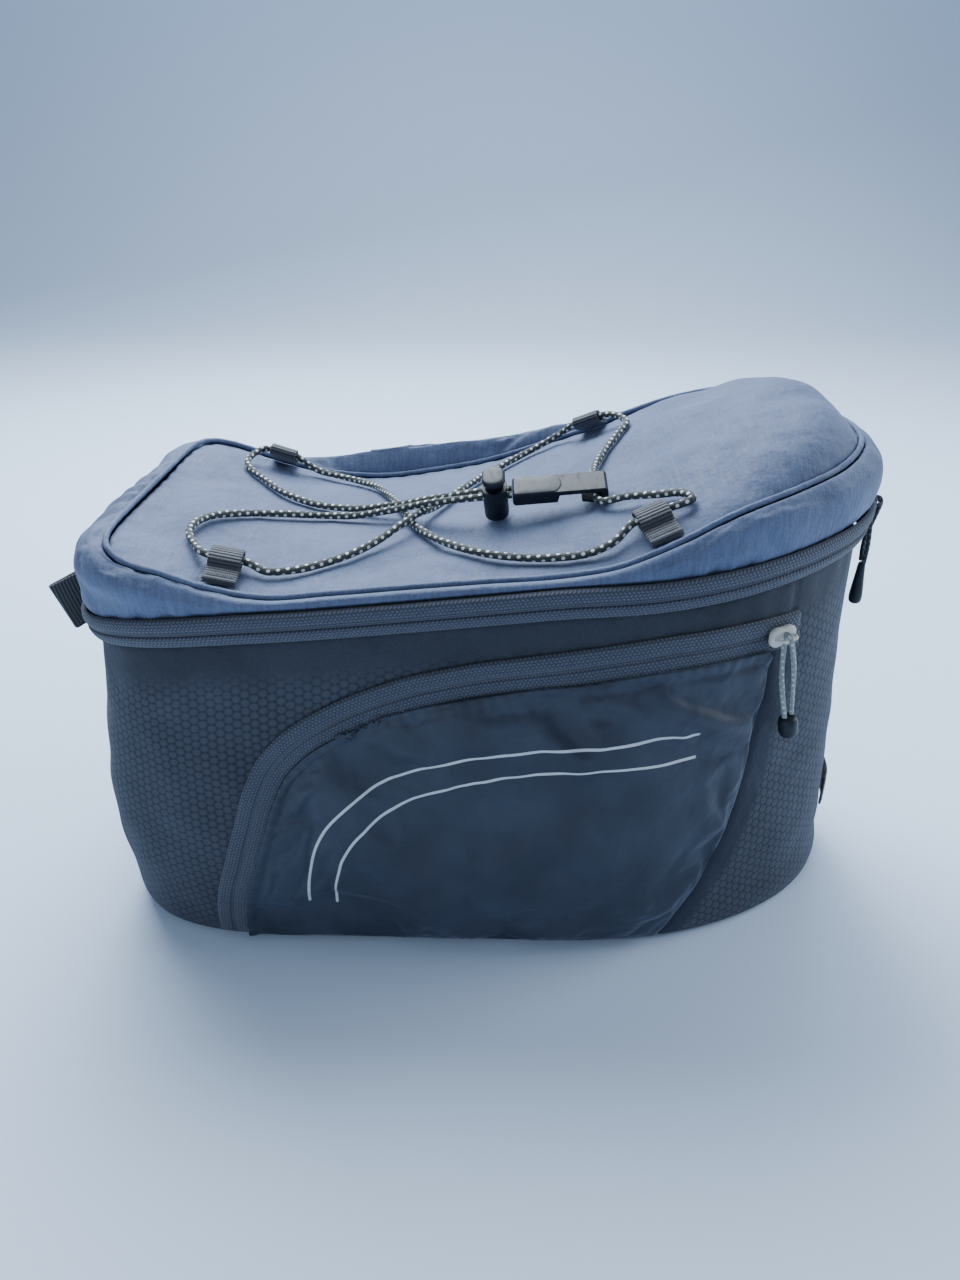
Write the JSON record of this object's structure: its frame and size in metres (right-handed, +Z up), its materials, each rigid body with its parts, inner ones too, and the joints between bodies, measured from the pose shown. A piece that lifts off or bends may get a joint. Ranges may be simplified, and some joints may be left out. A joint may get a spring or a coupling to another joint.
{
  "type": "bicycle rack bag",
  "caption": "Padded bicycle rack bag with a square front and a long round rear, zipped domed lid, side pockets, and an elastic cord laced over the lid with a cord lock and hook.",
  "frame": {"origin": "middle of the overall box in plan, at the level of the bag's flat base", "axes": "+X towards the round rear end, +Z up out of the lid, -Y towards the side whose main zip opens"},
  "size_m": [0.4275, 0.2146, 0.273],
  "materials": {
    "body_cloth": "padded woven cloth with a fine dotted weave",
    "lid_cloth": "padded smooth nylon",
    "pocket_cloth": "thin smooth nylon",
    "zip_tape": "knitted zip tape with a reversed coil",
    "webbing": "ribbed woven webbing",
    "elastic_cord": "braided elastic with pale reflective flecks",
    "pull_cord": "thin braided cord with pale flecks",
    "black_plastic": "moulded, satin to glossy",
    "pale_plastic": "painted off-white, satin"
  },
  "bodies": {
    "bag": {"body_shell": "body_cloth", "lid_hinge": "body_cloth", "lid_panel": "lid_cloth", "lid_rim": "lid_cloth", "lid_piping": "lid_cloth", "pocket_panel_near": "pocket_cloth", "pocket_panel_far": "pocket_cloth", "main_zip_tape_lower": "zip_tape", "main_zip_tape_upper": "zip_tape", "main_zip_coil": "zip_tape", "pocket_zip_tape_outer_near": "zip_tape", "pocket_zip_coil_near": "zip_tape", "pocket_zip_tape_inner_near": "zip_tape", "pocket_zip_tape_outer_far": "zip_tape", "pocket_zip_coil_far": "zip_tape", "pocket_zip_tape_inner_far": "zip_tape", "main_zip_tab": "webbing", "rear_light_strap": "webbing", "cord_loop_front_near": "webbing", "cord_loop_rear_near": "webbing", "cord_loop_front_far": "webbing", "cord_loop_rear_far": "webbing", "bungee_cord": "elastic_cord", "main_pull_cord": "pull_cord", "pocket_pull_cord_near": "pull_cord", "pocket_pull_cord_far": "pull_cord", "main_zip_slider": "black_plastic", "main_pull_end": "black_plastic", "pocket_pull_knob_near": "black_plastic", "pocket_pull_knob_far": "black_plastic", "cord_lock_barrel": "black_plastic", "cord_hook": "black_plastic", "pocket_slider_near": "pale_plastic", "pocket_slider_far": "pale_plastic"},
    "lock_button": {"cord_lock_button": "black_plastic"}
  },
  "joints": [
    {"name": "cord_lock_button", "type": "slide", "parent": "bag", "child": "lock_button", "axis": [0.0901, 0.3406, -0.9359], "range_m": [0, 0.003], "stiffness_N_per_m": 600, "springref_m": -0.003}
  ]
}
